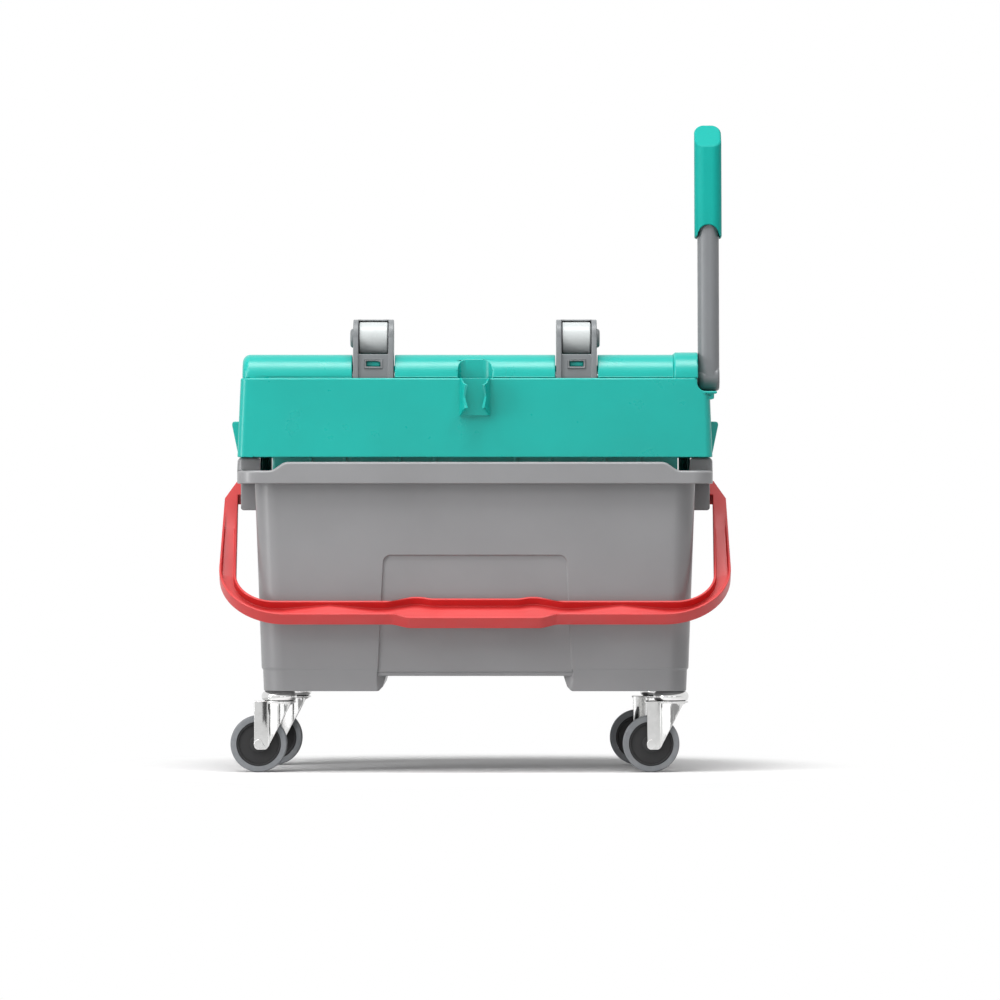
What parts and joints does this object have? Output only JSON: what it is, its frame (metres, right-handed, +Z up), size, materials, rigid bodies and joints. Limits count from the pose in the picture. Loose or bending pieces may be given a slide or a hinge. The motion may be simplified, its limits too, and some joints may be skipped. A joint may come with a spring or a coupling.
{
  "type": "mop bucket with wringer",
  "caption": "Wheeled plastic mop bucket with a hanging bail and a lift-off lever wringer for flat mops, with guide rollers and a mop stick clip on its ridge.",
  "frame": {"origin": "on the floor under the middle of the bucket's rim", "axes": "+X along the bucket toward the lever end, +Y from the front to the back, +Z up"},
  "size_m": [0.5396, 0.2881, 0.6841],
  "materials": {
    "bucket_grey": "fine texture",
    "bail_red": "satin",
    "wringer_teal": "satin",
    "bracket_grey": "satin",
    "lever_grey": "powder coat",
    "roller_white": "satin",
    "zinc": "bright zinc plate",
    "shaft_steel": "ground",
    "bush_plastic": "plain",
    "hub_black": "fine texture",
    "tyre_grey": "matt"
  },
  "bodies": {
    "bucket": {"bucket_body": "bucket_grey", "front_left_stem": "zinc", "front_left_cup": "zinc", "front_right_stem": "zinc", "front_right_cup": "zinc", "rear_left_stem": "zinc", "rear_left_cup": "zinc", "rear_right_stem": "zinc", "rear_right_cup": "zinc"},
    "bail": {"bail_handle": "bail_red"},
    "wringer": {"wringer_shell": "wringer_teal", "shaft_cover": "wringer_teal", "basket": "wringer_teal", "back_grid": "wringer_teal", "hinge_pins": "shaft_steel", "left_bush": "bush_plastic", "right_bush": "bush_plastic", "left_bracket": "bracket_grey", "right_bracket": "bracket_grey", "left_roller_pin": "bracket_grey", "right_roller_pin": "bracket_grey", "stick_clip": "wringer_teal", "basket_screws": "zinc"},
    "lever": {"camshaft": "shaft_steel", "left_cam": "bush_plastic", "right_cam": "bush_plastic", "cam_pins": "shaft_steel", "shaft_clip": "shaft_steel", "lever_arm": "lever_grey", "lever_grip": "wringer_teal", "lever_screw": "zinc"},
    "press": {"press_plate": "wringer_teal"},
    "left_guide": {"left_roller": "roller_white"},
    "right_guide": {"right_roller": "roller_white"},
    "front_left_swivel": {"front_left_fork": "zinc", "front_left_axle": "zinc", "front_left_balls": "shaft_steel"},
    "front_left_wheel": {"front_left_hub": "hub_black", "front_left_tyre": "tyre_grey"},
    "front_right_swivel": {"front_right_fork": "zinc", "front_right_axle": "zinc", "front_right_balls": "shaft_steel"},
    "front_right_wheel": {"front_right_hub": "hub_black", "front_right_tyre": "tyre_grey"},
    "rear_left_swivel": {"rear_left_fork": "zinc", "rear_left_axle": "zinc", "rear_left_balls": "shaft_steel"},
    "rear_left_wheel": {"rear_left_hub": "hub_black", "rear_left_tyre": "tyre_grey"},
    "rear_right_swivel": {"rear_right_fork": "zinc", "rear_right_axle": "zinc", "rear_right_balls": "shaft_steel"},
    "rear_right_wheel": {"rear_right_hub": "hub_black", "rear_right_tyre": "tyre_grey"}
  },
  "joints": [
    {"name": "wringer_lift", "type": "slide", "parent": "bucket", "child": "wringer", "axis": [0, 0, 1], "range_m": [0, 0.26]},
    {"name": "lever_swing", "type": "hinge", "parent": "wringer", "child": "lever", "pos_m": [0, -0.1004, 0.415], "axis": [1, 0, 0], "range_deg": [0, 95]},
    {"name": "press_swing", "type": "hinge", "parent": "wringer", "child": "press", "pos_m": [0, -0.04474, 0.222], "axis": [-1, 0, 0], "range_deg": [0, 8]},
    {"name": "bail_swing", "type": "hinge", "parent": "bucket", "child": "bail", "pos_m": [0, 0, 0.293], "axis": [-1, 0, 0], "range_deg": [0, 57]},
    {"name": "left_roller_spin", "type": "hinge", "parent": "wringer", "child": "left_guide", "pos_m": [-0.1067, -0.1004, 0.4574], "axis": [1, 0, 0], "continuous": true},
    {"name": "right_roller_spin", "type": "hinge", "parent": "wringer", "child": "right_guide", "pos_m": [0.1067, -0.1004, 0.4574], "axis": [1, 0, 0], "continuous": true},
    {"name": "front_left_turn", "type": "hinge", "parent": "bucket", "child": "front_left_swivel", "pos_m": [-0.20698, -0.08633, 0.086], "axis": [0, 0, 1], "continuous": true},
    {"name": "front_left_roll", "type": "hinge", "parent": "front_left_swivel", "child": "front_left_wheel", "pos_m": [-0.22818, -0.08633, 0.03], "axis": [0, 1, 0], "continuous": true},
    {"name": "front_right_turn", "type": "hinge", "parent": "bucket", "child": "front_right_swivel", "pos_m": [0.20698, -0.08633, 0.086], "axis": [0, 0, 1], "continuous": true},
    {"name": "front_right_roll", "type": "hinge", "parent": "front_right_swivel", "child": "front_right_wheel", "pos_m": [0.18578, -0.08633, 0.03], "axis": [0, 1, 0], "continuous": true},
    {"name": "rear_left_turn", "type": "hinge", "parent": "bucket", "child": "rear_left_swivel", "pos_m": [-0.19658, 0.08633, 0.086], "axis": [0, 0, 1], "continuous": true},
    {"name": "rear_left_roll", "type": "hinge", "parent": "rear_left_swivel", "child": "rear_left_wheel", "pos_m": [-0.21778, 0.08633, 0.03], "axis": [0, 1, 0], "continuous": true},
    {"name": "rear_right_turn", "type": "hinge", "parent": "bucket", "child": "rear_right_swivel", "pos_m": [0.19658, 0.08633, 0.086], "axis": [0, 0, 1], "continuous": true},
    {"name": "rear_right_roll", "type": "hinge", "parent": "rear_right_swivel", "child": "rear_right_wheel", "pos_m": [0.17538, 0.08633, 0.03], "axis": [0, 1, 0], "continuous": true}
  ],
  "couplings": [
    {"joint": "press_swing", "follows": "lever_swing", "ratio": 0.084211}
  ]
}
